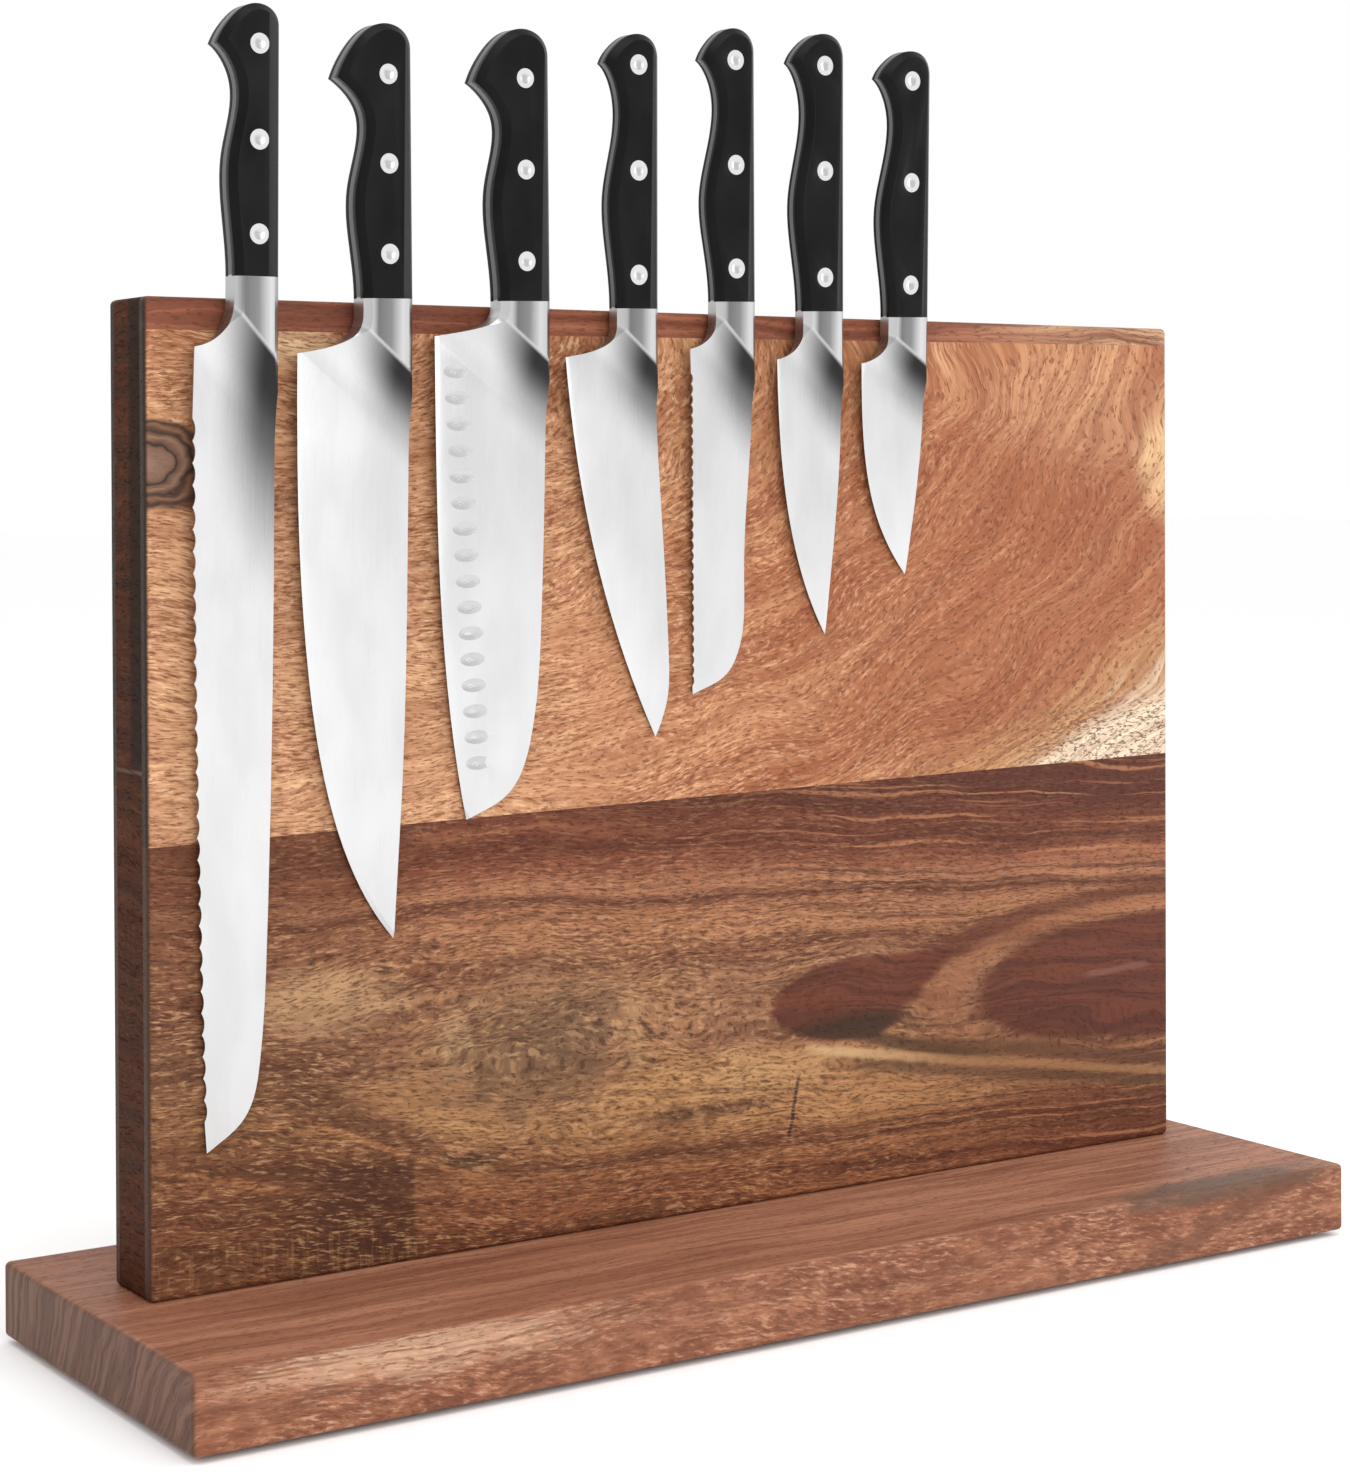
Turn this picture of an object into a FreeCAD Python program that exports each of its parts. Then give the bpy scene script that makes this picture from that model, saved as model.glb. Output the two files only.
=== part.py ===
import FreeCAD, Part
import math
import os

from FreeCAD import Vector as V

# A magnetic knife block: an upright board of glued acacia planks, with rows of magnets
# let into its core, stands on a wider base slab. Seven forged knives hang on its front
# face, their handles clear above its top edge. Millimetres, +Z up, the front faces -Y.
# The origin is on the table, under the centre of the base slab.

# ---- driving dimensions: base and board ----
FOOT_H = 2.0
FOOT_R = 8.0
FOOT_BEVEL = 0.8
BASE_W = 488.0
BASE_D = 158.0
BASE_T = 26.0
BOARD_W = 448.0
BOARD_H = 330.0
BOARD_T = 30.0
FRONT_LEDGE = 78.0
EDGE_ROUND = 2.0
SKIN_T = 4.5

# ---- glue seams, as heights above the board's foot ----
CORE_SEAM = 173.5
FRONT_SEAM_LEFT = 149.5
FRONT_SEAM_RIGHT = 156.5
STRIP_LEFT = 11.0
STRIP_RIGHT = 7.0
BACK_SEAM = 168.0

# ---- magnets and their steel backing ----
MAGNET_L = 60.0
MAGNET_H = 12.0
MAGNET_T = 5.0
MAGNET_GAP = 8.0
MAGNET_BEVEL = 0.4
MAGNETS_PER_ROW = 6
MAGNET_ROWS = (75.0, 215.0, 290.0)
BACKING_T = 1.5

# ---- fasteners of the base joint ----
SCREW_X = (-150.0, 0.0, 150.0)
SCREW_R = 2.2
SCREW_HEAD_R = 4.6
SCREW_HEAD_H = 3.0
SCREW_SINK = 5.0
SCREW_LENGTH = 62.0
SCREW_TIP = 5.0
SCREW_TIP_R = 0.3
WELL_CLEARANCE = 0.4
CROSS_HALF = 2.6
CROSS_HALF_W = 0.5
CROSS_DEPTH = 1.8
DOWEL_X = (-200.0, -75.0, 75.0, 200.0)
DOWEL_R = 4.0
DOWEL_IN_BASE = 14.0
DOWEL_IN_BOARD = 20.0
DOWEL_BEVEL = 0.8
FOOT_X = (-215.0, 0.0, 215.0)
FOOT_INSET = 18.0

# ---- what follows from them ----
BASE_Z = FOOT_H
BOARD_Z = FOOT_H + BASE_T
FRONT_Y = -BASE_D / 2 + FRONT_LEDGE
BACK_Y = FRONT_Y + BOARD_T
MID_Y = FRONT_Y + BOARD_T / 2
BOARD_TOP = BOARD_Z + BOARD_H
HALF_W = BOARD_W / 2
ROW_SPAN = MAGNETS_PER_ROW * MAGNET_L + (MAGNETS_PER_ROW - 1) * MAGNET_GAP
HEAD_Z = BASE_Z + SCREW_SINK
SHANK_Z = HEAD_Z + SCREW_HEAD_H

# ---- knives: sizes that all of them share ----
GAP_TO_BOARD = 0.35
TIP_STANDOFF = 1.2
EDGE_HALF = 0.35
HEEL_LINE = -30.0
SCALE_BEVEL = 2.4
BOLSTER_ZONE = 55.0
BEVEL_HALF = 0.06
BEVEL_W = 1.5
BEVEL_STATIONS = 9
DIMPLE_WHEEL = 45.0
DIMPLE_NOSE = 11.0
DIMPLE_DEPTH = 0.26
REACH = 420.0
RIVET_LINE = -1.0
RIVET_DISH_R = 1.9
RIVET_DISH = 0.25

# Each knife has its own frame: x across the blade with the cutting edge at -x, z up the
# handle from the shoulder where the scales meet the bolster, y through the thickness.
# at: where the shoulder hangs (x, z); hang: its lean in the board's plane, in degrees.
# handle: length, spine side, bolster side, belly (x, z), waist (x, z), hook (x, z).
# heel: the blade's back corner; bolster: how far the bolster's edge side runs down.
# spine and edge: points of the two outlines, from the shoulder and the heel to the tip.
# sweep: the line, left to right, where the bolster's face turns down into the blade.
LARGE = dict(half=6.0, tang=1.4, rivet=3.4, hollow=45.0, seat=26.0)
SMALL = dict(half=5.0, tang=1.1, rivet=3.6, hollow=30.0, seat=19.0)
KNIVES = {
    "bread": dict(
        LARGE, at=(-188.0, 364.8), hang=0.0, rivets=(13.9, 44.9, 76.3), spine_half=1.1,
        handle=(89.7, 7.0, 8.7, (10.4, 41.0), (8.5, 66.8), (15.3, 75.9)),
        taper=0.001, bolster=6.5, heel=(-21.5, -23.4), tip=(-16.4, -289.5),
        spine=((6.9, -110.0), (4.9, -222.0), (2.4, -262.0), (-4.4, -281.0)),
        edge=(), sweep=((-5.4, -14.0), (7.7, -28.9)),
        teeth=dict(first=-47.0, last=-279.0, pitch=7.25, depth=1.0, x=(-22.1, -17.2), bend=1.8),
    ),
    "chef": dict(
        LARGE, at=(-139.5, 359.0), hang=1.05, rivets=(15.0, 45.4, 75.4), spine_half=1.3,
        handle=(92.6, 8.6, 10.0, (12.1, 38.0), (10.0, 64.9), (18.9, 73.6)),
        taper=0.002, bolster=5.0, heel=(-33.0, -18.5), tip=(0.9, -218.6),
        spine=((7.4, -80.0), (5.8, -141.0), (3.3, -186.0)),
        edge=((-33.3, -72.0), (-30.6, -122.0), (-23.0, -169.0), (-10.2, -202.5)),
        sweep=((-8.1, -10.9), (8.3, -24.8)),
    ),
    "santoku": dict(
        LARGE, at=(-86.0, 359.7), hang=1.4, rivets=(13.8, 45.5, 77.0), spine_half=1.1,
        handle=(94.2, 9.4, 10.3, (12.4, 41.0), (10.2, 64.5), (19.8, 75.1)),
        taper=0.0015, bolster=1.5, heel=(-34.5, -12.1), tip=(-24.0, -180.2),
        spine=((8.6, -55.0), (6.6, -111.0), (2.3, -152.0), (-8.4, -173.2)),
        edge=((-34.2, -70.0), (-31.6, -126.0)), sweep=((-7.4, -7.8), (8.9, -20.4)),
        dimples=dict(count=16, first=(-27.3, -24.2), last=(-20.0, -160.6)),
    ),
    "cook": dict(
        SMALL, at=(-38.4, 358.5), hang=0.9, rivets=(12.0, 49.1, 86.6), spine_half=1.1,
        handle=(97.6, 8.4, 8.8, (11.8, 41.0), (8.8, 78.9), (13.8, 86.7)),
        taper=0.005, bolster=6.0, heel=(-28.7, -17.4), tip=(9.0, -154.6),
        spine=((8.9, -38.0), (11.8, -82.0), (14.4, -125.0), (13.0, -144.5)),
        edge=((-24.2, -52.0), (-16.0, -89.5), (-4.2, -125.0)), sweep=((-6.5, -7.4), (9.1, -20.5)),
    ),
    "tomato": dict(
        SMALL, at=(4.0, 362.2), hang=1.4, rivets=(12.1, 49.7, 87.6), spine_half=0.9,
        handle=(99.2, 8.6, 8.6, (12.4, 39.5), (9.0, 81.3), (13.8, 87.3)),
        taper=0.001, bolster=6.5, heel=(-18.5, -17.1), tip=(-18.2, -143.2),
        spine=((8.0, -45.0), (4.5, -100.0), (1.4, -129.5), (-3.6, -136.8)),
        edge=(), sweep=((-5.7, -7.3), (9.3, -22.0)),
        teeth=dict(first=-26.0, last=-140.0, pitch=3.8, depth=0.8, x=(-18.2, -18.3), bend=1.0),
    ),
    "utility": dict(
        SMALL, at=(43.9, 359.8), hang=1.5, rivets=(12.6, 52.0, 90.8), spine_half=0.9,
        handle=(102.6, 9.0, 9.4, (12.9, 41.9), (9.6, 83.9), (14.6, 91.4)),
        taper=0.004, bolster=7.0, heel=(-19.5, -17.7), tip=(2.2, -121.1),
        spine=((8.9, -50.0), (6.0, -87.5)),
        edge=((-17.9, -50.0), (-11.6, -87.5), (-3.6, -110.0)), sweep=((-5.1, -7.5), (10.1, -21.5)),
    ),
    "paring": dict(
        SMALL, at=(83.8, 358.7), hang=1.45, rivets=(12.2, 50.8, 89.0), spine_half=0.8,
        handle=(100.2, 9.0, 9.6, (13.0, 41.9), (9.6, 82.8), (14.7, 89.4)),
        taper=0.004, bolster=7.0, heel=(-20.3, -17.4), tip=(1.1, -98.2),
        spine=((8.3, -42.0), (5.4, -70.5)),
        edge=((-18.4, -52.0), (-12.0, -77.0), (-5.0, -90.0)), sweep=((-7.2, -7.6), (8.7, -17.8)),
    ),
}


# ---- helpers ----
def box(x0, x1, y0, y1, z0, z1):
    return Part.makeBox(x1 - x0, y1 - y0, z1 - z0, V(x0, y0, z0))


def rod(radius, length, point, direction):
    return Part.makeCylinder(radius, length, point, direction)


def line(a, b):
    return Part.LineSegment(a, b).toShape()


def curve(points, start=None, end=None):
    spline = Part.BSplineCurve()
    options = {"Points": points}
    if start and end:
        options["InitialTangent"] = start
        options["FinalTangent"] = end
    spline.interpolate(**options)
    return spline.toShape()


def xz(pair, y=0.0):
    return V(pair[0], y, pair[1])


def plate(edges, y0, y1):
    """A flat plate: an outline in the XZ plane, given its thickness along Y."""
    face = Part.Face(Part.Wire(Part.sortEdges(edges)[0]))
    face.translate(V(0, y0, 0))
    return face.extrude(V(0, y1 - y0, 0))


def save(node, shape):
    if not shape.isValid():
        raise ValueError(node + " is not a valid solid")
    shape.exportStep("parts/" + node + ".step")


# ---- base slab and its fasteners ----
def screw_head(x):
    return Part.makeCone(SCREW_HEAD_R, SCREW_R, SCREW_HEAD_H, V(x, MID_Y, HEAD_Z), V(0, 0, 1))


def countersink(x):
    well = rod(SCREW_HEAD_R + WELL_CLEARANCE, SCREW_SINK, V(x, MID_Y, BASE_Z), V(0, 0, 1))
    shank = rod(SCREW_R, SCREW_LENGTH - SCREW_HEAD_H, V(x, MID_Y, SHANK_Z), V(0, 0, 1))
    return well.fuse([screw_head(x), shank])


def dowel(x):
    return rod(DOWEL_R, DOWEL_IN_BASE + DOWEL_IN_BOARD, V(x, MID_Y, BOARD_Z - DOWEL_IN_BASE), V(0, 0, 1))


def joint_holes():
    return [countersink(x) for x in SCREW_X] + [dowel(x) for x in DOWEL_X]


def base_plate():
    slab = box(-BASE_W / 2, BASE_W / 2, -BASE_D / 2, BASE_D / 2, BASE_Z, BOARD_Z)
    slab = slab.makeFillet(EDGE_ROUND, slab.Edges)
    return slab.cut(joint_holes())


def cross_arm(x, half_x, half_y):
    return box(x - half_x, x + half_x, MID_Y - half_y, MID_Y + half_y, HEAD_Z, HEAD_Z + CROSS_DEPTH)


def board_screws():
    screws = []
    straight = SCREW_LENGTH - SCREW_HEAD_H - SCREW_TIP
    for x in SCREW_X:
        shank = rod(SCREW_R, straight, V(x, MID_Y, SHANK_Z), V(0, 0, 1))
        point = Part.makeCone(SCREW_R, SCREW_TIP_R, SCREW_TIP, V(x, MID_Y, SHANK_Z + straight), V(0, 0, 1))
        recess = [cross_arm(x, CROSS_HALF, CROSS_HALF_W), cross_arm(x, CROSS_HALF_W, CROSS_HALF)]
        screws.append(screw_head(x).fuse([shank, point]).cut(recess).removeSplitter())
    return Part.makeCompound(screws)


def dowels():
    pegs = []
    for x in DOWEL_X:
        peg = dowel(x)
        rims = [e for e in peg.Edges if e.Curve.TypeId == "Part::GeomCircle"]
        pegs.append(peg.makeChamfer(DOWEL_BEVEL, rims))
    return Part.makeCompound(pegs)


def rubber_feet():
    feet = []
    for x in FOOT_X:
        for y in (-BASE_D / 2 + FOOT_INSET, BASE_D / 2 - FOOT_INSET):
            rim = Part.makeCone(FOOT_R - FOOT_BEVEL, FOOT_R, FOOT_BEVEL, V(x, y, 0), V(0, 0, 1))
            pad = rod(FOOT_R, FOOT_H - FOOT_BEVEL, V(x, y, FOOT_BEVEL), V(0, 0, 1))
            feet.append(rim.fuse(pad).removeSplitter())
    return Part.makeCompound(feet)


# ---- upright board: skins and core inside one softened envelope ----
def board_envelope():
    block = box(-HALF_W, HALF_W, FRONT_Y, BACK_Y, BOARD_Z, BOARD_TOP)
    return block.makeFillet(EDGE_ROUND, block.Edges)


def plank(envelope, y0, y1, bottom, top):
    """A plank of the board between two seams, each given as (left, right) heights."""
    corners = [
        V(-HALF_W, 0, BOARD_Z + bottom[0]),
        V(HALF_W, 0, BOARD_Z + bottom[1]),
        V(HALF_W, 0, BOARD_Z + top[1]),
        V(-HALF_W, 0, BOARD_Z + top[0]),
    ]
    sides = [line(a, b) for a, b in zip(corners, corners[1:] + corners[:1])]
    return plate(sides, y0, y1).common(envelope)


def row_foot(height):
    """The height at which a row of magnets starts."""
    return BOARD_Z + height - MAGNET_H / 2


def pockets():
    """The long pockets in both faces of the core, one pair to each row of magnets."""
    depth = MAGNET_T + BACKING_T
    front = FRONT_Y + SKIN_T
    back = BACK_Y - SKIN_T
    cuts = []
    for height in MAGNET_ROWS:
        z0 = row_foot(height)
        for y0 in (front, back - depth):
            cuts.append(box(-ROW_SPAN / 2, ROW_SPAN / 2, y0, y0 + depth, z0, z0 + MAGNET_H))
    return cuts


def core_plank(envelope, bottom, top):
    core = plank(envelope, FRONT_Y + SKIN_T, BACK_Y - SKIN_T, (bottom, bottom), (top, top))
    return core.cut(pockets() + joint_holes())


def magnets(y0):
    bars = []
    for height in MAGNET_ROWS:
        z0 = row_foot(height)
        for i in range(MAGNETS_PER_ROW):
            x = -ROW_SPAN / 2 + i * (MAGNET_L + MAGNET_GAP)
            bar = box(x, x + MAGNET_L, y0, y0 + MAGNET_T, z0, z0 + MAGNET_H)
            bars.append(bar.makeChamfer(MAGNET_BEVEL, bar.Edges))
    return Part.makeCompound(bars)


def backing_strips():
    strips = []
    for height in MAGNET_ROWS:
        z0 = row_foot(height)
        for y0 in (FRONT_Y + SKIN_T + MAGNET_T, BACK_Y - SKIN_T - MAGNET_T - BACKING_T):
            strips.append(box(-ROW_SPAN / 2, ROW_SPAN / 2, y0, y0 + BACKING_T, z0, z0 + MAGNET_H))
    return Part.makeCompound(strips)


# ---- knives, each in its own frame ----
def handle_outline(knife):
    length, spine, bolster, belly, waist, hook = knife["handle"]
    shoulder = V(-bolster, 0, 0)
    hook_tip = V(-hook[0], 0, hook[1])
    rise = length - hook[1]
    under = curve(
        [shoulder, V(-belly[0], 0, belly[1]), V(-waist[0], 0, waist[1]), hook_tip],
        V(0, 0, 1), V(-0.85, 0, 0.5),
    )
    rounded = V(-hook[0] * 0.70, 0, hook[1] + rise * 0.56)
    back_corner = V(spine, 0, length - spine)
    butt = curve([hook_tip, rounded, V(-1.6, 0, length), back_corner], V(0.35, 0, 0.95), V(0, 0, -1))
    back = line(back_corner, V(spine, 0, 0))
    foot = line(V(spine, 0, 0), shoulder)
    return [under, butt, back, foot]


def serrated_edge(heel, tip, teeth):
    """Scallops between sharp points, along a gently bowed edge."""
    count = round((teeth["first"] - teeth["last"]) / teeth["pitch"])
    nodes = []
    for i in range(count + 1):
        part = i / count
        x = teeth["x"][0] + (teeth["x"][1] - teeth["x"][0]) * part ** teeth["bend"]
        nodes.append(V(x, 0, teeth["first"] + (teeth["last"] - teeth["first"]) * part))
    edges = [line(heel, nodes[0])]
    for a, b in zip(nodes, nodes[1:]):
        middle = (a + b) * 0.5 + V(teeth["depth"], 0, 0)
        edges.append(Part.Arc(a, middle, b).toShape())
    edges.append(line(nodes[-1], tip))
    return edges


def blade_outline(knife):
    spine, bolster = knife["handle"][1:3]
    heel = xz(knife["heel"])
    tip = xz(knife["tip"])
    drop = V(-bolster, 0, -knife["bolster"])
    width = drop.x - heel.x
    height = drop.z - heel.z
    inner = V(drop.x - width * 0.30, 0, heel.z + height * 0.28)
    edges = [line(V(spine, 0, 0), V(-bolster, 0, 0)), line(V(-bolster, 0, 0), drop)]
    edges.append(curve([drop, inner, heel], V(0, 0, -1), V(-1, 0, -0.16)))
    if "teeth" in knife:
        edges += serrated_edge(heel, tip, knife["teeth"])
    else:
        edges.append(curve([heel] + [xz(p) for p in knife["edge"]] + [tip]))
    back = [V(spine, 0, 0)] + [xz(p) for p in knife["spine"]] + [tip]
    first = (back[1] - back[0]).normalize()
    last = (back[-1] - back[-2]).normalize()
    edges.append(curve(back, V(first.x * 0.4, 0, -1), last))
    return edges


def blade_face(knife, side):
    """The ground face's plane: thick at the spine, thin at the edge, tapering to the tip."""
    spine = V(knife["handle"][1], side * knife["spine_half"], HEEL_LINE)
    edge = V(knife["heel"][0], side * EDGE_HALF, HEEL_LINE)
    down = V(0, -side * knife["taper"], -1)
    normal = (edge - spine).cross(down).normalize()
    if normal.y * side < 0:
        normal = normal * -1
    return spine, normal


def face_depth(knife, side, x, z):
    """How far out the ground face lies at one place on the blade."""
    on_face, normal = blade_face(knife, side)
    return on_face.y - ((x - on_face.x) * normal.x + (z - on_face.z) * normal.z) / normal.y


def grinding_cut(knife, side):
    """What grinding takes off one side: the flat of the blade and its hollow run-out."""
    on_face, normal = blade_face(knife, side)
    left = xz(knife["sweep"][0])
    right = xz(knife["sweep"][1])
    along = right - left
    along = (along - normal * along.dot(normal)).normalize()
    up = normal.cross(along)
    if up.z < 0:
        up = up * -1
    root = left - normal * (left - on_face).dot(normal)
    radius = knife["hollow"]
    rise = knife["half"] - abs(root.y)
    run = math.sqrt(radius ** 2 - (radius - rise) ** 2)
    over = 5.0
    clear = 30.0

    def at(u, v):
        return root + up * u + normal * v

    def height(u):
        return radius - math.sqrt(radius ** 2 - (run + u) ** 2)

    start = at(-run, 0)
    lift = at(over, height(over))
    hollow = Part.Arc(start, at(-run / 2, height(-run / 2)), lift).toShape()
    corners = [lift, at(over, clear), at(-REACH, clear), at(-REACH, 0), start]
    sides = [line(a, b) for a, b in zip(corners, corners[1:])]
    face = Part.Face(Part.Wire(Part.sortEdges([hollow] + sides)[0]))
    face.translate(along * -REACH)
    return face.extrude(along * 2 * REACH)


def edge_bevel(knife, side):
    """The honed bevel: a wedge that follows the cutting edge from heel to tip."""
    past = 0.6
    outside = V(0, side * 3, 0)
    path = curve([xz(knife["heel"])] + [xz(p) for p in knife["edge"]] + [xz(knife["tip"])])
    sections = []
    for i in range(BEVEL_STATIONS):
        t = path.FirstParameter + (path.LastParameter - path.FirstParameter) * i / (BEVEL_STATIONS - 1)
        point = path.valueAt(t)
        run = path.tangentAt(t).normalize()
        inward = V(-run.z, 0, run.x)
        if inward.x < 0:
            inward = inward * -1
        inner = point + inward * BEVEL_W
        outer = point - inward * past
        depth = face_depth(knife, side, inner.x, inner.z)
        slope = (depth - side * BEVEL_HALF) / BEVEL_W
        low = V(0, side * BEVEL_HALF - slope * past, 0)
        corners = [inner + V(0, depth, 0), outer + low, outer + outside, inner + outside]
        sections.append(Part.makePolygon(corners + corners[:1]))
    return Part.makeLoft(sections, True, False)


def dimple_cuts(knife):
    """Ground hollows near the edge: shallow toric scoops, staggered between the two sides."""
    spec = knife["dimples"]
    first = xz(spec["first"])
    last = xz(spec["last"])
    cuts = []
    for side in (-1, 1):
        for i in range(spec["count"]):
            part = (i + (0.0 if side < 0 else 0.5)) / (spec["count"] - 1)
            place = first + (last - first) * part
            deep = face_depth(knife, side, place.x, place.z) - side * DIMPLE_DEPTH
            centre = V(place.x, deep + side * DIMPLE_WHEEL, place.z)
            cuts.append(Part.makeTorus(DIMPLE_WHEEL - DIMPLE_NOSE, DIMPLE_NOSE, centre, V(0, 0, 1)))
    return cuts


def outer_edges(solid, y):
    """The edges around a plate's outer face, without the one along the shoulder."""
    chosen = []
    for edge in solid.Edges:
        bounds = edge.BoundBox
        on_face = abs(bounds.YMin - y) < 0.01 and abs(bounds.YMax - y) < 0.01
        on_shoulder = abs(bounds.ZMin) < 0.01 and bounds.ZLength < 0.01
        if on_face and not on_shoulder:
            chosen.append(edge)
    return chosen


def rivet_holes(knife):
    half = knife["half"] + 1
    return [rod(knife["rivet"], 2 * half, V(RIVET_LINE, -half, z), V(0, 1, 0)) for z in knife["rivets"]]


def bolster_block(whole, knife):
    """The forging's upper stretch, with the same bevels as the scales that stand on it."""
    half = knife["half"]
    block = whole.common(box(-REACH, REACH, -half, half, -BOLSTER_ZONE, 1))
    rims = []
    for edge in outer_edges(block, -half) + outer_edges(block, half):
        bounds = edge.BoundBox
        on_cut = bounds.ZMax < 1 - BOLSTER_ZONE
        on_cutting_edge = bounds.XMax < knife["heel"][0] + 1.5 and bounds.ZMax < knife["heel"][1] + 1
        if not on_cut and not on_cutting_edge:
            rims.append(edge)
    return block.makeChamfer(SCALE_BEVEL, rims)


def blade(knife):
    """One forging: tang between the scales, bolster, and the ground blade below it."""
    half = knife["half"]
    whole = plate(blade_outline(knife), -half, half)
    lower = whole.common(box(-REACH, REACH, -half, half, -REACH, -BOLSTER_ZONE))
    grinding = [grinding_cut(knife, side) for side in (-1, 1)]
    forging = bolster_block(whole, knife).cut(grinding).fuse(lower.cut(grinding)).removeSplitter()
    if knife["edge"]:
        for side in (-1, 1):
            forging = forging.cut(edge_bevel(knife, side))
    if "dimples" in knife:
        forging = forging.cut(dimple_cuts(knife))
    tang = plate(handle_outline(knife), -knife["tang"], knife["tang"])
    return forging.fuse(tang).removeSplitter().cut(rivet_holes(knife))


def scale(knife, side):
    inner = side * knife["tang"]
    outer = side * knife["half"]
    slab = plate(handle_outline(knife), min(inner, outer), max(inner, outer))
    slab = slab.makeChamfer(SCALE_BEVEL, outer_edges(slab, outer))
    return slab.cut(rivet_holes(knife))


def rivets(knife):
    half = knife["half"]
    dish = RIVET_DISH_R ** 2 / (2 * RIVET_DISH)
    pins = []
    for z in knife["rivets"]:
        pin = rod(knife["rivet"], 2 * half, V(RIVET_LINE, -half, z), V(0, 1, 0))
        balls = [Part.makeSphere(dish, V(RIVET_LINE, s * (half + dish - RIVET_DISH), z)) for s in (-1, 1)]
        pins.append(pin.cut(balls))
    return Part.makeCompound(pins)


def hang(shape, knife):
    """Hang a knife on the board: the bolster clears the board's face, the tip nears it."""
    x, z = knife["at"]
    seat = knife["seat"]
    standoff = knife["half"] + GAP_TO_BOARD
    tilt = math.atan((standoff - TIP_STANDOFF) / (abs(knife["tip"][1]) - seat))
    turn = FreeCAD.Rotation(V(1, 0, 0), math.degrees(tilt)) * FreeCAD.Rotation(V(0, 1, 0), -knife["hang"])
    place = V(x, FRONT_Y - standoff - seat * math.sin(tilt), z)
    placed = shape.copy()
    placed.Placement = FreeCAD.Placement(place, turn)
    return placed


def save_rack():
    envelope = board_envelope()
    front = (FRONT_Y, FRONT_Y + SKIN_T)
    back = (BACK_Y - SKIN_T, BACK_Y)
    foot = (0.0, 0.0)
    top = (BOARD_H, BOARD_H)
    seam = (FRONT_SEAM_LEFT, FRONT_SEAM_RIGHT)
    strip = (BOARD_H - STRIP_LEFT, BOARD_H - STRIP_RIGHT)
    back_seam = (BACK_SEAM, BACK_SEAM)
    save("base_plate", base_plate())
    save("rubber_feet", rubber_feet())
    save("board_screws", board_screws())
    save("dowels", dowels())
    save("lower_front_plank", plank(envelope, *front, foot, seam))
    save("upper_front_plank", plank(envelope, *front, seam, strip))
    save("top_front_strip", plank(envelope, *front, strip, top))
    save("lower_core_plank", core_plank(envelope, 0.0, CORE_SEAM))
    save("upper_core_plank", core_plank(envelope, CORE_SEAM, BOARD_H))
    save("lower_back_plank", plank(envelope, *back, foot, back_seam))
    save("upper_back_plank", plank(envelope, *back, back_seam, top))
    save("front_magnets", magnets(FRONT_Y + SKIN_T))
    save("back_magnets", magnets(BACK_Y - SKIN_T - MAGNET_T))
    save("backing_strips", backing_strips())


def save_knives():
    for name, knife in KNIVES.items():
        save(name + "_blade", hang(blade(knife), knife))
        save(name + "_front_scale", hang(scale(knife, -1), knife))
        save(name + "_back_scale", hang(scale(knife, 1), knife))
        save(name + "_rivets", hang(rivets(knife), knife))


os.makedirs("parts", exist_ok=True)
save_rack()
save_knives()
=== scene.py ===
# %% [markdown]
# A knife rack for a butcher's or deli's counter: an upright board of glued acacia planks on a
# wide base slab, with hidden magnets that hold seven forged knives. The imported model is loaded
# first. It is the fixed frame that every finish and every new piece is placed by, in metres.

import math

import bmesh
import bpy
from mathutils import Euler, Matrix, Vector


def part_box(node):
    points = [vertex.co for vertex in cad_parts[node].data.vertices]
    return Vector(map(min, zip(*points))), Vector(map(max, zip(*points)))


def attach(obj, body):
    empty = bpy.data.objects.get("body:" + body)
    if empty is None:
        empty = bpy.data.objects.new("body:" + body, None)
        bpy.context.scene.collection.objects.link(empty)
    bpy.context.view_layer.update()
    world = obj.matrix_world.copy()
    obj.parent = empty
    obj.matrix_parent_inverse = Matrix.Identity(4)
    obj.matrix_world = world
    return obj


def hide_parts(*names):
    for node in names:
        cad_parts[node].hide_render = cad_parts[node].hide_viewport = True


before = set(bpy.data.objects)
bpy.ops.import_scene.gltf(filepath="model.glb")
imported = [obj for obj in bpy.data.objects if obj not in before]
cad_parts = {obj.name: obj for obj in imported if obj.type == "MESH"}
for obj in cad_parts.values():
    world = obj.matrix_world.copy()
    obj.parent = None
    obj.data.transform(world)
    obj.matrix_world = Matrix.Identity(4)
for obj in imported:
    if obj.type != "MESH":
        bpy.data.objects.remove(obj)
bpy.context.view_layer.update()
KNIVES = ("bread", "chef", "santoku", "cook", "tomato", "utility", "paring")
MM = 0.001

# %% [markdown]
# The camera stands to the left of the board at about the height of its upper half, and looks
# almost level. A level camera keeps upright edges upright, and the lens is shifted down a little
# in place of tilting the camera, as is usual for upright goods.

# %% Camera
LENS_PER_WIDTH = 2.2018
SHIFT_Y = -0.1676

camera_data = bpy.data.cameras.new("camera")
camera_data.sensor_fit = "HORIZONTAL"
camera_data.sensor_width = 36.0
camera_data.lens = LENS_PER_WIDTH * camera_data.sensor_width
camera_data.shift_y = SHIFT_Y
camera_data.clip_start = 0.05
camera = bpy.data.objects.new("camera", camera_data)
camera.location = (-0.61385, -0.90513, 0.29762)
camera.rotation_euler = Euler([math.radians(a) for a in (89.330, 0.241, -33.424)], "XYZ")
bpy.context.scene.collection.objects.link(camera)
bpy.context.scene.camera = camera
print("lens", round(camera_data.lens, 2), "mm")

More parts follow.
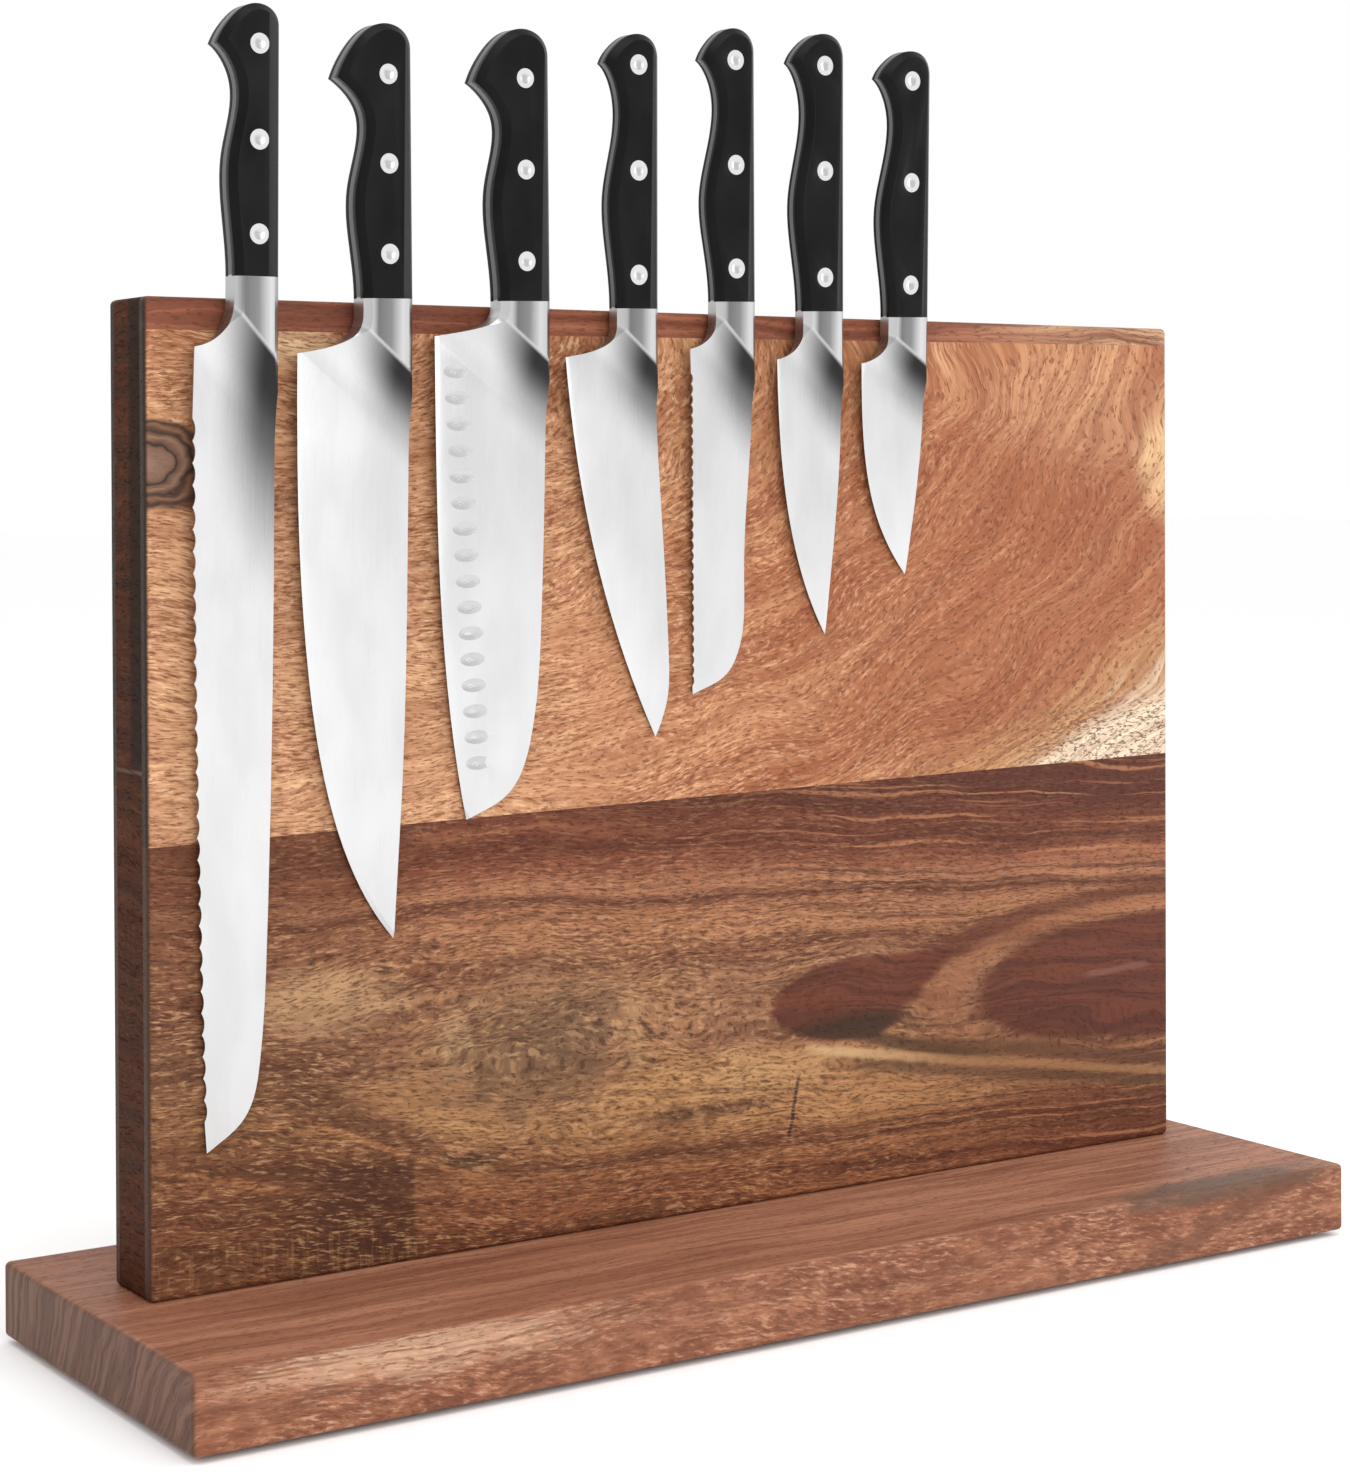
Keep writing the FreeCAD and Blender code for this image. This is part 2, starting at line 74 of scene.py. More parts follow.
# %% [markdown]
# The room is plain: a pale floor, a white surround and a few large soft lamps. Bare steel and
# black plastic mostly show what they mirror, so the lamps are placed for them. A wide front lamp
# makes the blades bright, and a narrow one at the far right draws the light line on the handles.

# %% Floor and lamps
def studio_floor(size):
    shape = bmesh.new()
    bmesh.ops.create_grid(shape, x_segments=1, y_segments=1, size=size / 2)
    mesh = bpy.data.meshes.new("floor")
    shape.to_mesh(mesh)
    shape.free()
    paint = bpy.data.materials.new("pale_floor")
    paint.use_nodes = True
    coat = paint.node_tree.nodes["Principled BSDF"]
    coat.inputs["Base Color"].default_value = (0.99, 0.99, 0.99, 1)
    coat.inputs["Roughness"].default_value = 0.75
    coat.inputs["Specular IOR Level"].default_value = 0.2
    mesh.materials.append(paint)
    floor = bpy.data.objects.new("floor", mesh)
    bpy.context.scene.collection.objects.link(floor)


def softbox(name, place, target, width, height, watts):
    data = bpy.data.lights.new(name, "AREA")
    data.shape = "RECTANGLE"
    data.size = width
    data.size_y = height
    data.energy = watts
    lamp = bpy.data.objects.new(name, data)
    lamp.location = place
    aim = Vector(target) - Vector(place)
    lamp.rotation_euler = aim.to_track_quat("-Z", "Y").to_euler()
    bpy.context.scene.collection.objects.link(lamp)


world = bpy.data.worlds.new("white_surround")
world.use_nodes = True
world.node_tree.nodes["Background"].inputs["Color"].default_value = (1, 1, 1, 1)
world.node_tree.nodes["Background"].inputs["Strength"].default_value = 1.0
bpy.context.scene.world = world
bpy.context.scene.view_settings.view_transform = "Standard"

BOARD_MIDDLE = (0.0, 0.0, 0.2)
FLOOR_SIZE = 30.0
studio_floor(FLOOR_SIZE)
softbox("front_lamp", (-0.4, -2.3, 0.9), BOARD_MIDDLE, 1.8, 1.4, 19.0)
softbox("rim_lamp", (1.75, -0.85, 0.75), BOARD_MIDDLE, 0.45, 1.6, 16.0)
softbox("top_lamp", (-0.3, -0.6, 2.0), BOARD_MIDDLE, 1.2, 1.0, 8.0)

# %% [markdown]
# Every finish here is worked out from the place on the piece, so a pattern could be written as
# long chains of nodes by hand. A small class that stands for one node socket makes that short:
# sums and products on it become Math nodes, and one method adds every other kind of node.

# %% A socket that can be calculated with
class Signal:
    """One output socket of a finish; arithmetic on it adds Math nodes."""

    def __init__(self, tree, socket=None):
        self.tree = tree
        self.socket = socket

    def node(self, kind, settings=None, inputs=None, output=0):
        """Any node: its settings first, then the values or links of its sockets."""
        made = self.tree.nodes.new("ShaderNode" + kind)
        for name, value in (settings or {}).items():
            if name == "stops":
                set_stops(made.color_ramp, value)
            else:
                setattr(made, name, value)
        for name, value in (inputs or {}).items():
            if isinstance(value, Signal):
                self.tree.links.new(value.socket, made.inputs[name])
            else:
                made.inputs[name].default_value = value
        return Signal(self.tree, made.outputs[output])

    def other(self, name):
        """Another output of the same node."""
        return Signal(self.tree, self.socket.node.outputs[name])

    def math(self, operation, *others):
        """A Math node on this socket and any others."""
        return self.node("Math", {"operation": operation}, dict(enumerate((self, *others))))

    def __add__(self, value):
        return self.math("ADD", value)

    def __sub__(self, value):
        return self.math("SUBTRACT", value)

    def __rsub__(self, value):
        return self.node("Math", {"operation": "SUBTRACT"}, {0: value, 1: self})

    def __mul__(self, value):
        return self.math("MULTIPLY", value)

    def __truediv__(self, value):
        return self.math("DIVIDE", value)

    def __rtruediv__(self, value):
        return self.node("Math", {"operation": "DIVIDE"}, {0: value, 1: self})

    __radd__ = __add__
    __rmul__ = __mul__


def set_stops(ramp, stops):
    """Fills a colour ramp; the two elements it starts with are reused."""
    while len(ramp.elements) < len(stops):
        ramp.elements.new(0.5)
    for element, (place, colour) in zip(ramp.elements, stops):
        element.position = place
        element.color = (*colour, 1)


print("socket class ready")

# %% [markdown]
# Four small tools make most of a finish: noise for chance, a smooth step that turns a value into
# a mask, a layer of colour laid over another by a mask, and a ramp from values to colours.

# %% Noise, masks and layers
def noise(x, y, z, detail=2.0, roughness=0.5):
    """Soft noise around 0.5; x, y and z are places already divided by the size of a grain."""
    place = x.node("CombineXYZ", {}, {0: x, 1: y, 2: z})
    settings = {"noise_dimensions": "3D"}
    inputs = {"Vector": place, "Scale": 1.0, "Detail": detail, "Roughness": roughness}
    return x.node("TexNoise", settings, inputs)


def rise(value, low, high):
    """0 below low, 1 above high, smooth between; with low above high it falls instead."""
    settings = {"interpolation_type": "SMOOTHSTEP"}
    return value.node("MapRange", settings, {0: value, 1: low, 2: high})


def paint(mask, under, over, mode="MIX"):
    """Lays one colour over another by a mask."""
    colours = {0: mask, 6: colour_of(under), 7: colour_of(over)}
    return mask.node("Mix", {"data_type": "RGBA", "blend_type": mode}, colours, 2)


def colour_of(value):
    return value if isinstance(value, Signal) else (*value, 1)


def ramp(value, *stops):
    return value.node("ValToRGB", {"stops": stops}, {0: value})


print("noise, masks and layers ready")

# %% [markdown]
# Marks in the wood need a place and a shape: an oval patch or a thin line. Both come from a
# distance, so that noise added to the distance frays the rim instead of blurring it.

# %% Patches and lines
def oval(x, z, centre, radii):
    """Distance from a centre, 1 on an oval of the given radii."""
    across = (x - centre[0]) / radii[0]
    along = (z - centre[1]) / radii[1]
    return (across * across + along * along).math("SQRT")


def spot(x, z, centre, radii, soft, edge=0.85):
    """An oval patch: 1 inside, fading out at its rim; soft is a noise that frays the rim."""
    return rise(oval(x, z, centre, radii) + soft, 1.15, 1.15 - edge)


def stripe(offset, half_width):
    """A line where the offset is 0, full in its middle quarter and gone half_width away."""
    return rise(offset.math("ABSOLUTE"), half_width, half_width * 0.25)


print("patches and lines ready")

# %% [markdown]
# Every finish starts from the place on the piece and ends at the shader. Each piece sits at the
# origin with its place in its mesh, so Object coordinates are places on the whole rack, and a
# pattern runs on from one piece to the next.

# %% Start and end of a finish
def start_finish(name):
    """A new material with its shader and the place on the piece, in millimetres."""
    material = bpy.data.materials.new(name)
    material.use_nodes = True
    tree = material.node_tree
    shader = tree.nodes["Principled BSDF"]
    place = Signal(tree).node("TexCoord", output="Object")
    place = place.node("VectorMath", {"operation": "SCALE"}, {0: place, "Scale": 1 / MM})
    split = place.node("SeparateXYZ", {}, {0: place})
    return material, shader, split, split.other("Y"), split.other("Z")


def connect(shader, **signals):
    for name, value in signals.items():
        socket = shader.inputs[name.replace("_", " ").title()]
        if isinstance(value, Signal):
            value.tree.links.new(value.socket, socket)
        else:
            socket.default_value = value


def bumps(height, depth_mm):
    """A normal from a height; the depth is how deep a full step of it cuts."""
    inputs = {"Height": height, "Distance": depth_mm * MM, "Strength": 1.0}
    return height.node("Bump", {}, inputs)


print("finish tools ready")

# %% [markdown]
# Acacia has three scales of figure. Growth rings make bands some millimetres wide, the fibres
# make fine lines along them, and open pores show as short dark dashes. A flat picture of wood
# would be the quick way, but it repeats and has no depth. Here the rings are the level lines of
# one distance field per plank, so that the fibres and pores follow the same curves.

# %% Fibres, pores and the oiled surface
def fibres(across, along, y, fineness=1.1):
    """Fine lines along the grain, around 0.5."""
    fine = noise(across / fineness, along / 55, y / 3, 3, 0.6)
    coarse = noise(across / (fineness * 4.5), along / 110, y / 6, 2, 0.5)
    return fine * 0.55 + coarse * 0.45


def pores(across, along, y, density, length=4.2):
    """Short dashes of open pores: 1 inside a pore."""
    dashes = noise(across / 0.75, along / length, y / 1.2, 2, 0.55)
    return rise(dashes, density, density + 0.07)


def flecks(body, across, along, y, dark, light, strength):
    """The torn short fibres of interlocked grain: small dark and light dashes."""
    torn = noise(across / 0.85, along / 5.2, y / 3, 2, 0.65)
    patchy = rise(noise(across / 22, along / 50, y / 30, 2), 0.30, 0.62) * 0.6 + 0.4
    body = paint(rise(torn, 0.49, 0.35) * patchy * strength, body, dark)
    return paint(rise(torn, 0.53, 0.68) * patchy * strength * 0.7, body, light)


OILED_ROUGHNESS = 0.50
OILED_SPECULAR = 0.14


def oil(shader, colour, pore, fibre):
    """Oiled wood: pores stay dull and deep, the fibres between them have a soft shine."""
    rough = OILED_ROUGHNESS + pore * 0.25 + (fibre - 0.5) * 0.3
    height = fibre * 0.35 - pore
    connect(shader, base_color=colour, roughness=rough, normal=bumps(height, 0.12))
    shader.inputs["Specular IOR Level"].default_value = OILED_SPECULAR


print("wood tools ready")

# %% [markdown]
# The upper front plank is the light one. Its rings run level at the left and sweep up in wide
# quarter ovals at the right, so the field is a distance that is level on one side of a centre
# and oval on the other.

# %% Lines and sawn ends of the upper plank
BOARD_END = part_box("upper_front_plank")[1].x / MM


def sweeping_rings(x, z, turn_x, top_z, reach, drop):
    """A distance whose level lines run level left of turn_x and curve up right of it."""
    side = (x - turn_x).math("MAXIMUM", 0.0) / reach * drop
    down = top_z - z
    return (side * side + down * down).math("SQRT")


def end_grain_and_painted_shade(x, colour, dark):
    """The sawn ends soak up more oil than the faces, so they are darker; the same darkening also paints the
    shade on the ends.
    """
    return paint(rise(x.math("ABSOLUTE"), BOARD_END - 1.1, BOARD_END - 0.2), colour, dark)


print("upper plank's lines ready")

# %% [markdown]
# Two marks make this plank this plank: a black knot on its left edge and pale sapwood in its
# lower right corner. Both are laid over the rings as patches. The knot has rings of its own, and
# the sapwood starts as streaks along the plank's rings, because a soft round spot looks sprayed.

# %% Knot and sapwood
def sapwood_corner(x, y, z, body, rings, wander):
    """Pale sapwood in the lower right corner; it starts as streaks along the rings."""
    reach = (x - 92.0).math("MAXIMUM", 0.0) / 132.0
    below = 183.0 + reach * reach * 54.0 - z + wander * 12
    streaky = below + (noise(rings / 3.2, (x + z) / 120, y / 20, 3, 0.6) - 0.5) * 46
    body = paint(rise(streaky, -20.0, 6.0) * rise(x, 55.0, 150.0) * 0.6, body, (0.52, 0.31, 0.145))
    cream = rise(streaky, 4.0, 20.0) * rise(x, 95.0, 160.0)
    body = paint(cream * 0.9, body, (0.70, 0.54, 0.36))
    dashes = rise(noise(x / 2.3, y / 2, z / 0.75, 2, 0.6), 0.535, 0.60)
    low = rise(z, 216.0, 198.0) * rise(x, 118.0, 178.0)
    body = paint(low * rise(below, 4.0, 16.0) * 0.7, body, (0.74, 0.62, 0.47))
    return paint(dashes * low * 0.85, body, (0.085, 0.060, 0.042))


def knot(x, y, z, body, ripple):
    """Black-brown rings around a grey-brown heart, cut through by the plank's left edge."""
    ring = oval(x, z, (-224.0, 303.0), (22.0, 13.5)) + ripple * 0.55
    grain = noise(ring * 9, y / 4, x / 30, 2) - 0.5
    smear = stripe(z - 291.0 - ripple * 5, 4.0) * rise(x, -150.0, -215.0)
    body = paint(smear * 0.8, body, (0.070, 0.030, 0.018))
    bark = ramp(
        ring + grain * 0.14,
        (0.0, (0.24, 0.140, 0.095)), (0.38, (0.18, 0.100, 0.066)), (0.48, (0.030, 0.018, 0.013)),
        (0.57, (0.14, 0.075, 0.050)), (0.68, (0.23, 0.125, 0.078)), (0.80, (0.045, 0.026, 0.018)),
        (0.90, (0.19, 0.095, 0.055)), (1.0, (0.060, 0.032, 0.022)),
    )
    return paint(rise(ring, 1.16, 0.98), body, bark)


print("knot and sapwood ready")

# %% [markdown]
# The finish is built in layers, as the eye reads wood: rings and wide shades of colour first,
# then the marks, fibres, streaks, torn flecks and pores, and the oil last. The back plank is cut
# from the same wood without the marks.

# %% Upper planks
def dress(node, material):
    """A CAD node whose shape is right keeps it and only gets the finish."""
    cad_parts[node].material_slots[0].material = material


def light_acacia(name, featured):
    material, shader, x, y, z = start_finish(name)
    wander = noise(x / 75, y / 60, z / 45, 1) - 0.5
    ripple = noise(x / 14, y / 9, z / 8, 2) - 0.5
    rings = sweeping_rings(x, z, -150.0, 356.0, 365.0, 190.0) + wander * 26 + ripple * 0.9
    along = x + z
    fibre = fibres(rings, along, y)
    band = noise(rings / 7, along / 190, y / 30, 3, 0.55)
    body = ramp(
        band,
        (0.28, (0.25, 0.080, 0.034)), (0.42, (0.36, 0.140, 0.062)),
        (0.55, (0.44, 0.200, 0.096)), (0.72, (0.55, 0.29, 0.145)),
    )
    pale_left = rise(x, 30.0, -140.0) * 0.55 * rise(z, 390.0, 250.0)
    body = paint(pale_left, body, (0.58, 0.335, 0.185))
    red_right = rise(x, -20.0, 110.0) * rise(z, 345.0, 300.0)
    body = paint(red_right * 0.65, body, (0.25, 0.072, 0.031))
    pore = pores(rings, along, y, 0.575)
    if featured:
        body = paint(spot(x, z, (185.0, 322.0), (60.0, 34.0), wander) * 0.4, body, (0.47, 0.265, 0.145))
        body = sapwood_corner(x, y, z, body, rings, wander)
        body = paint(spot(x, z, (-173.0, 344.0), (26.0, 9.0), ripple) * 0.7, body, (0.74, 0.52, 0.30))
        edge = spot(x, z, (222.0, 304.0), (17.0, 30.0), wander * 1.5)
        body = paint(edge * 0.75, body, (0.70, 0.46, 0.24))
    body = paint(rise(fibre, 0.60, 0.34) * 0.5, body, (0.19, 0.056, 0.024))
    body = paint(rise(fibre, 0.55, 0.72) * 0.3, body, (0.66, 0.38, 0.20))
    streaks = noise(rings / 2.6, along / 130, y / 12, 3, 0.6)
    body = paint(rise(streaks, 0.50, 0.34) * rise(x, -80.0, 90.0) * 0.5, body, (0.20, 0.060, 0.027))
    rough_left = rise(x, 200.0, -60.0) * 0.55 + 0.18
    body = flecks(body, rings, along, y, (0.16, 0.052, 0.024), (0.76, 0.49, 0.30), rough_left)
    body = paint(pore * 0.6, body, (0.13, 0.045, 0.022))
    if featured:
        body = knot(x, y, z, body, ripple)
    oil(shader, end_grain_and_painted_shade(x, body, (0.030, 0.019, 0.012)), pore, fibre)
    return material


dress("upper_front_plank", light_acacia("light_acacia_front", True))
dress("upper_back_plank", light_acacia("light_acacia_back", False))
print("upper planks finished")

# %% [markdown]
# The lower front plank is dark heartwood, sawn through a swelling of the trunk. The obvious way
# is closed rings round an eye, but that makes a target. On real wood the lines part in front of
# the swelling, run apart over and under it, and only the colour gathers into an eye. So the
# field is the height over the eye's axis, squeezed near it, and patches of colour lie on top.

# %% Lines of the lower plank
def parting_lines(x, z):
    """Height over the eye's axis; the lines run apart from the eye's left end rightwards."""
    height = z - 96.0 + (x + 75.0) * 0.045
    scaled = height / 48.0
    near = (scaled * scaled * -1.0).math("EXPONENT")
    return height, height - height * near * rise(x, -190.0, -85.0) * 0.46


print("lower plank's lines ready")

# %% [markdown]
# The eye is a grey-brown heart in a halo of gold. It is painted as a few oval patches, from the
# widest to the smallest, and one noise frays all their rims, so none of them reads as an oval.
# Left of it lie cream wood, dark bands and the dark block in the plank's corner.

# %% The eye and the left end
EYE_PATCHES = (
    # what it is, by centre, radii, softness of the rim, strength and colour
    ((-74.0, 92.0), (74.0, 40.0), 0.5, 0.45, (0.35, 0.180, 0.080)),      # tan surround
    ((-24.0, 78.0), (36.0, 15.0), 0.85, 0.6, (0.42, 0.215, 0.085)),      # gold, right
    ((20.0, 77.0), (38.0, 11.0), 0.85, 0.6, (0.46, 0.265, 0.115)),       # gold, under the leaf
    ((-108.0, 70.0), (26.0, 10.0), 0.85, 0.5, (0.40, 0.210, 0.090)),     # gold, left
    ((-76.0, 98.0), (50.0, 28.0), 0.7, 0.74, (0.150, 0.082, 0.045)),     # grey-brown heart
    ((-66.0, 97.0), (26.0, 17.0), 0.85, 0.35, (0.100, 0.060, 0.036)),    # its darkest part
    ((-110.0, 102.0), (9.0, 15.0), 0.85, 0.5, (0.42, 0.27, 0.135)),      # light rim, left
    ((-36.0, 98.0), (6.0, 22.0), 0.85, 0.4, (0.40, 0.235, 0.110)),       # light rim, right
)
SMEARS = (
    ((-6.0, 65.0), (36.0, 3.4), (0.085, 0.042, 0.020)),
    ((-103.0, 60.5), (15.0, 3.6), (0.070, 0.034, 0.018)),
)


def eye(x, z, body, ripple, wander):
    """The eye: a frayed grey-brown heart in a gold halo, with dark smears and a crack under it."""
    fray = ripple * 1.1 + wander * 0.8
    for centre, radii, edge, strength, colour in EYE_PATCHES:
        body = paint(spot(x, z, centre, radii, fray, edge) * strength, body, colour)
    for centre, radii, colour in SMEARS:
        body = paint(spot(x, z, centre, radii, ripple * 1.6) * 0.85, body, colour)
    crack = stripe(x - 35.0 - (z - 60.0) * 0.18 + ripple * 3, 1.3) * rise(z, 46.0, 52.0)
    return paint(crack * rise(z, 76.0, 70.0) * 0.9, body, (0.022, 0.012, 0.007))


def left_end(x, y, z, body, ripple):
    """Cream wood left of the eye, dark bands under it and the dark block in the corner."""
    body = paint(spot(x, z, (-164.0, 121.0), (40.0, 14.0), ripple * 1.2) * 0.65, body, (0.50, 0.305, 0.155))
    slant = z - 93.0 + (x + 176.0) * 0.53
    band = stripe(slant + ripple * 6, 12.0) * rise(x, -205.0, -165.0) * rise(x, -104.0, -122.0)
    body = paint(band * 0.75, body, (0.110, 0.042, 0.021))
    bow = z - 80.0 + (x + 165.0) * 0.42 + ripple * 2
    rim = stripe(bow, 1.8) * rise(x, -180.0, -160.0) * rise(x, -100.0, -115.0)
    body = paint(rim * 0.7, body, (0.36, 0.155, 0.062))
    ledge = stripe(z - 66.8 + (x + 205.0) * 0.27 + ripple * 2, 1.9) * rise(x, -140.0, -165.0)
    body = paint(ledge * 0.7, body, (0.34, 0.140, 0.056))
    block = rise(x, -125.2, -127.0) * rise(x, -196.0, -150.0) * rise(z + x * 0.14, 48.0, 40.0)
    body = paint(block * 0.80, body, (0.056, 0.019, 0.010))
    streaks = noise(x / 2.2, y / 4, z / 14, 3, 0.6)
    low = rise(z, 50.0, 38.0) * rise(x, -118.0, -130.0)
    return paint(rise(streaks, 0.48, 0.66) * low * 0.6, body, (0.25, 0.115, 0.050))


print("eye patches", len(EYE_PATCHES) + len(SMEARS))

# %% [markdown]
# Right of the eye two smooth, dark tongues of denser wood lie over the lines: a leaf, and a wide
# one that is open to the right edge. A thin gold line runs below them between two dark ones.

# %% Tongues and gold line
def tongues(x, z, body, fibre, wander, ripple):
    """Two smooth dark tongues: a leaf, and a wide one with an orange rim, open to the right."""
    wide = oval(x, z, (232.0, 95.0), (114.0, 27.0)) + wander * 0.22 + ripple * 0.11
    leaf = oval(x.math("MINIMUM", 66.0), z, (66.0, 99.5), (42.0, 15.5)) + wander * 0.15 + ripple * 0.11
    leaf = rise(leaf, 1.08, 0.90) * rise(x - (z - 91.0) * 1.23 + ripple * 8, 89.0, 81.0)
    outer = stripe(wide - 1.30, 0.17) * rise(z, 98.0, 110.0)
    body = paint(outer * 0.8, body, (0.095, 0.028, 0.014))
    body = paint(stripe(wide - 1.12, 0.13) * rise(z, 76.0, 94.0) * 0.5, body, (0.24, 0.090, 0.041))
    tone = paint(rise(fibre, 0.42, 0.60), (0.070, 0.018, 0.010), (0.110, 0.030, 0.016))
    body = paint(leaf * 0.92, body, tone)
    keel = spot(x, z, (64.0, 88.0), (44.0, 7.0), wander)
    body = paint(keel * leaf * 0.75, body, (0.030, 0.019, 0.010))
    tail = stripe(z - 85.0 + (x - 66.0) * 0.235 + ripple * 2, 4.0) * rise(x, 56.0, 72.0)
    body = paint(tail * rise(x, 160.0, 100.0) * 0.8, body, (0.045, 0.025, 0.013))
    body = paint(rise(wide, 1.03, 0.90) * 0.92, body, tone)
    scuff = stripe(z - 97.5 - (x - 178.0) * 0.05 + ripple * 3, 1.9) * rise(x, 176.0, 184.0)
    return paint(scuff * rise(x, 216.0, 208.0) * 0.30, body, (0.25, 0.130, 0.095))


def gold_line(x, z, body, wander):
    """A gold line from under the leaf to the right edge, between two dark ones."""
    offset = z - 54.3 - (223.0 - x) * 0.155 + wander * 3
    dark = stripe(offset - 5.5, 4.5) * rise(x, 70.0, 110.0)
    body = paint(dark * 0.75, body, (0.085, 0.034, 0.016))
    under = stripe(offset + 4.2, 3.4) * rise(x, 40.0, 80.0)
    body = paint(under * 0.7, body, (0.080, 0.038, 0.018))
    gold = paint(rise(x, 50.0, 120.0), (0.50, 0.33, 0.165), (0.27, 0.130, 0.056))
    return paint(stripe(offset, 2.6) * rise(x, 36.0, 50.0) * 0.8, body, gold)


print("tongues and gold line ready")

# %% [markdown]
# The same layers as on the upper plank make the finish, with darker wood. The rings take their
# colours from two ramps, one over the eye's axis and one under it, as the trunk's do.

# %% Lower planks
def dark_acacia(name, featured):
    material, shader, x, y, z = start_finish(name)
    wander = noise(x / 90, y / 60, z / 26, 3) - 0.5
    ripple = noise(x / 13, y / 9, z / 6, 3) - 0.5
    height, lines = parting_lines(x, z)
    lines = lines + wander * 17
    rings = lines + ripple * 4.5
    grain = lines + ripple * 1.3
    fibre = fibres(grain, x, y, 0.9)
    upper = ramp(
        rings / 90,
        (0.0, (0.238, 0.112, 0.056)), (0.16, (0.273, 0.129, 0.065)), (0.24, (0.132, 0.046, 0.023)),
        (0.31, (0.326, 0.141, 0.068)), (0.44, (0.299, 0.120, 0.059)), (0.49, (0.097, 0.028, 0.014)),
        (0.54, (0.334, 0.141, 0.072)), (0.66, (0.194, 0.058, 0.029)), (0.74, (0.106, 0.027, 0.014)),
        (0.84, (0.150, 0.042, 0.021)), (0.93, (0.072, 0.017, 0.010)),
    )
    lower = ramp(
        rings / -75,
        (0.0, (0.238, 0.112, 0.056)), (0.10, (0.352, 0.174, 0.075)), (0.28, (0.387, 0.191, 0.078)),
        (0.38, (0.246, 0.100, 0.041)), (0.44, (0.097, 0.033, 0.015)), (0.51, (0.317, 0.129, 0.053)),
        (0.60, (0.176, 0.058, 0.025)), (0.70, (0.264, 0.095, 0.041)), (0.82, (0.114, 0.035, 0.016)),
        (0.95, (0.185, 0.062, 0.028)),
    )
    body = paint(rise(height, 5.0, -5.0), upper, lower)
    mottle = noise(x / 15, y / 14, z / 7, 3, 0.6)
    body = paint(rise(mottle, 0.48, 0.72) * 0.22, body, (0.38, 0.18, 0.083))
    body = paint(rise(mottle, 0.50, 0.28) * 0.40, body, (0.09, 0.032, 0.017))
    body = paint(rise(x, -95.0, -170.0) * 0.60, body, (0.115, 0.042, 0.020))
    body = paint(rise(x, 60.0, 190.0) * rise(z, 135.0, 55.0) * 0.78, body, (0.098, 0.022, 0.011))
    body = paint(rise(x, -60.0, 60.0) * rise(z, 146.0, 170.0) * 0.45, body, (0.085, 0.021, 0.012))
    pore = pores(grain, x, y, 0.565, 3.4)
    if featured:
        body = eye(x, z, body, ripple, wander)
        body = left_end(x, y, z, body, ripple)
    body = paint(rise(fibre, 0.58, 0.34) * 0.5, body, (0.06, 0.018, 0.009))
    body = paint(rise(fibre, 0.56, 0.74) * 0.26, body, (0.48, 0.23, 0.11))
    streaks = noise(grain / 2.4, x / 150, y / 12, 3, 0.6)
    plain = rise(x, -70.0, 120.0) * 0.55 + 0.15
    body = paint(rise(streaks, 0.49, 0.34) * plain, body, (0.070, 0.020, 0.010))
    body = paint(rise(streaks, 0.53, 0.68) * plain, body, (0.36, 0.150, 0.070))
    torn = rise(x, 190.0, 20.0) * 0.42 + 0.22
    torn = torn * (rise(z, 172.0, 128.0) * 0.6 + 0.4)
    body = flecks(body, grain, x, y, (0.045, 0.017, 0.009), (0.58, 0.34, 0.17), torn)
    body = paint(pore * 0.5, body, (0.045, 0.016, 0.008))
    if featured:
        body = tongues(x, z, body, fibre, wander, ripple)
        body = gold_line(x, z, body, wander)
    oil(shader, end_grain_and_painted_shade(x, body, (0.060, 0.026, 0.015)), pore, fibre)
    return material


dress("lower_front_plank", dark_acacia("dark_acacia_front", True))
dress("lower_back_plank", dark_acacia("dark_acacia_back", False))
print("lower planks finished")

# %% [markdown]
# The strip along the top edge, the core planks and the base slab are plain straight-grained
# boards. Each is cut from a trunk whose centre lies outside the board, so a distance from that
# centre gives straight lines on the faces and curved arcs on the ends, all joined up.

# %% Straight-grained boards and the top strip
def straight_board(name, centre, palette, ring_width):
    """A finish for a board along X; palette goes from its darkest to its lightest wood."""
    material, shader, x, y, z = start_finish(name)
    wander = noise(x / 120, y / 50, z / 40, 3) - 0.5
    ripple = noise(x / 10, y / 6, z / 6, 2) - 0.5
    across = oval(y, z, centre, (1.0, 1.0)) + wander * 15 + ripple * 1.6
    fibre = fibres(across, x, y / 8)
    band = noise(across / ring_width, x / 230, y / 90, 3, 0.55)
    dark, middle, light = palette
    body = ramp(band, (0.3, dark), (0.5, middle), (0.7, light))
    pore = pores(across, x, y / 4, 0.59)
    return material, shader, (x, y, z), across, body, fibre, pore


def close_board(material, shader, body, fibre, pore, dark_line):
    """The last layers of every board: dark fibres and pores, then the oil."""
    body = paint(rise(fibre, 0.58, 0.34) * 0.5, body, dark_line)
    body = paint(pore * 0.5, body, dark_line)
    oil(shader, body, pore, fibre)
    return material


def top_strip():
    """The dark strip along the top edge; its right half is paler."""
    palette = ((0.115, 0.032, 0.016), (0.20, 0.062, 0.033), (0.34, 0.125, 0.066))
    made = straight_board("dark_acacia_strip", (30.0, 250.0), palette, 4.0)
    material, shader, (x, y, z), across, body, fibre, pore = made
    body = paint(rise(x, 95.0, 190.0) * 0.75 * rise(fibre, 0.3, 0.6), body, (0.54, 0.33, 0.19))
    body = end_grain_and_painted_shade(x, body, (0.022, 0.017, 0.014))
    return close_board(material, shader, body, fibre, pore, (0.10, 0.04, 0.026))


dress("top_front_strip", top_strip())
print("strip finished")

# %% [markdown]
# The core shows only at its sawn ends. End wood soaks up oil until it is dark and has no shine,
# so the ends are multiplied down, which also paints the shade on them, and their shine is nearly
# taken away.

# %% Core planks
DRY_SPECULAR = 0.03


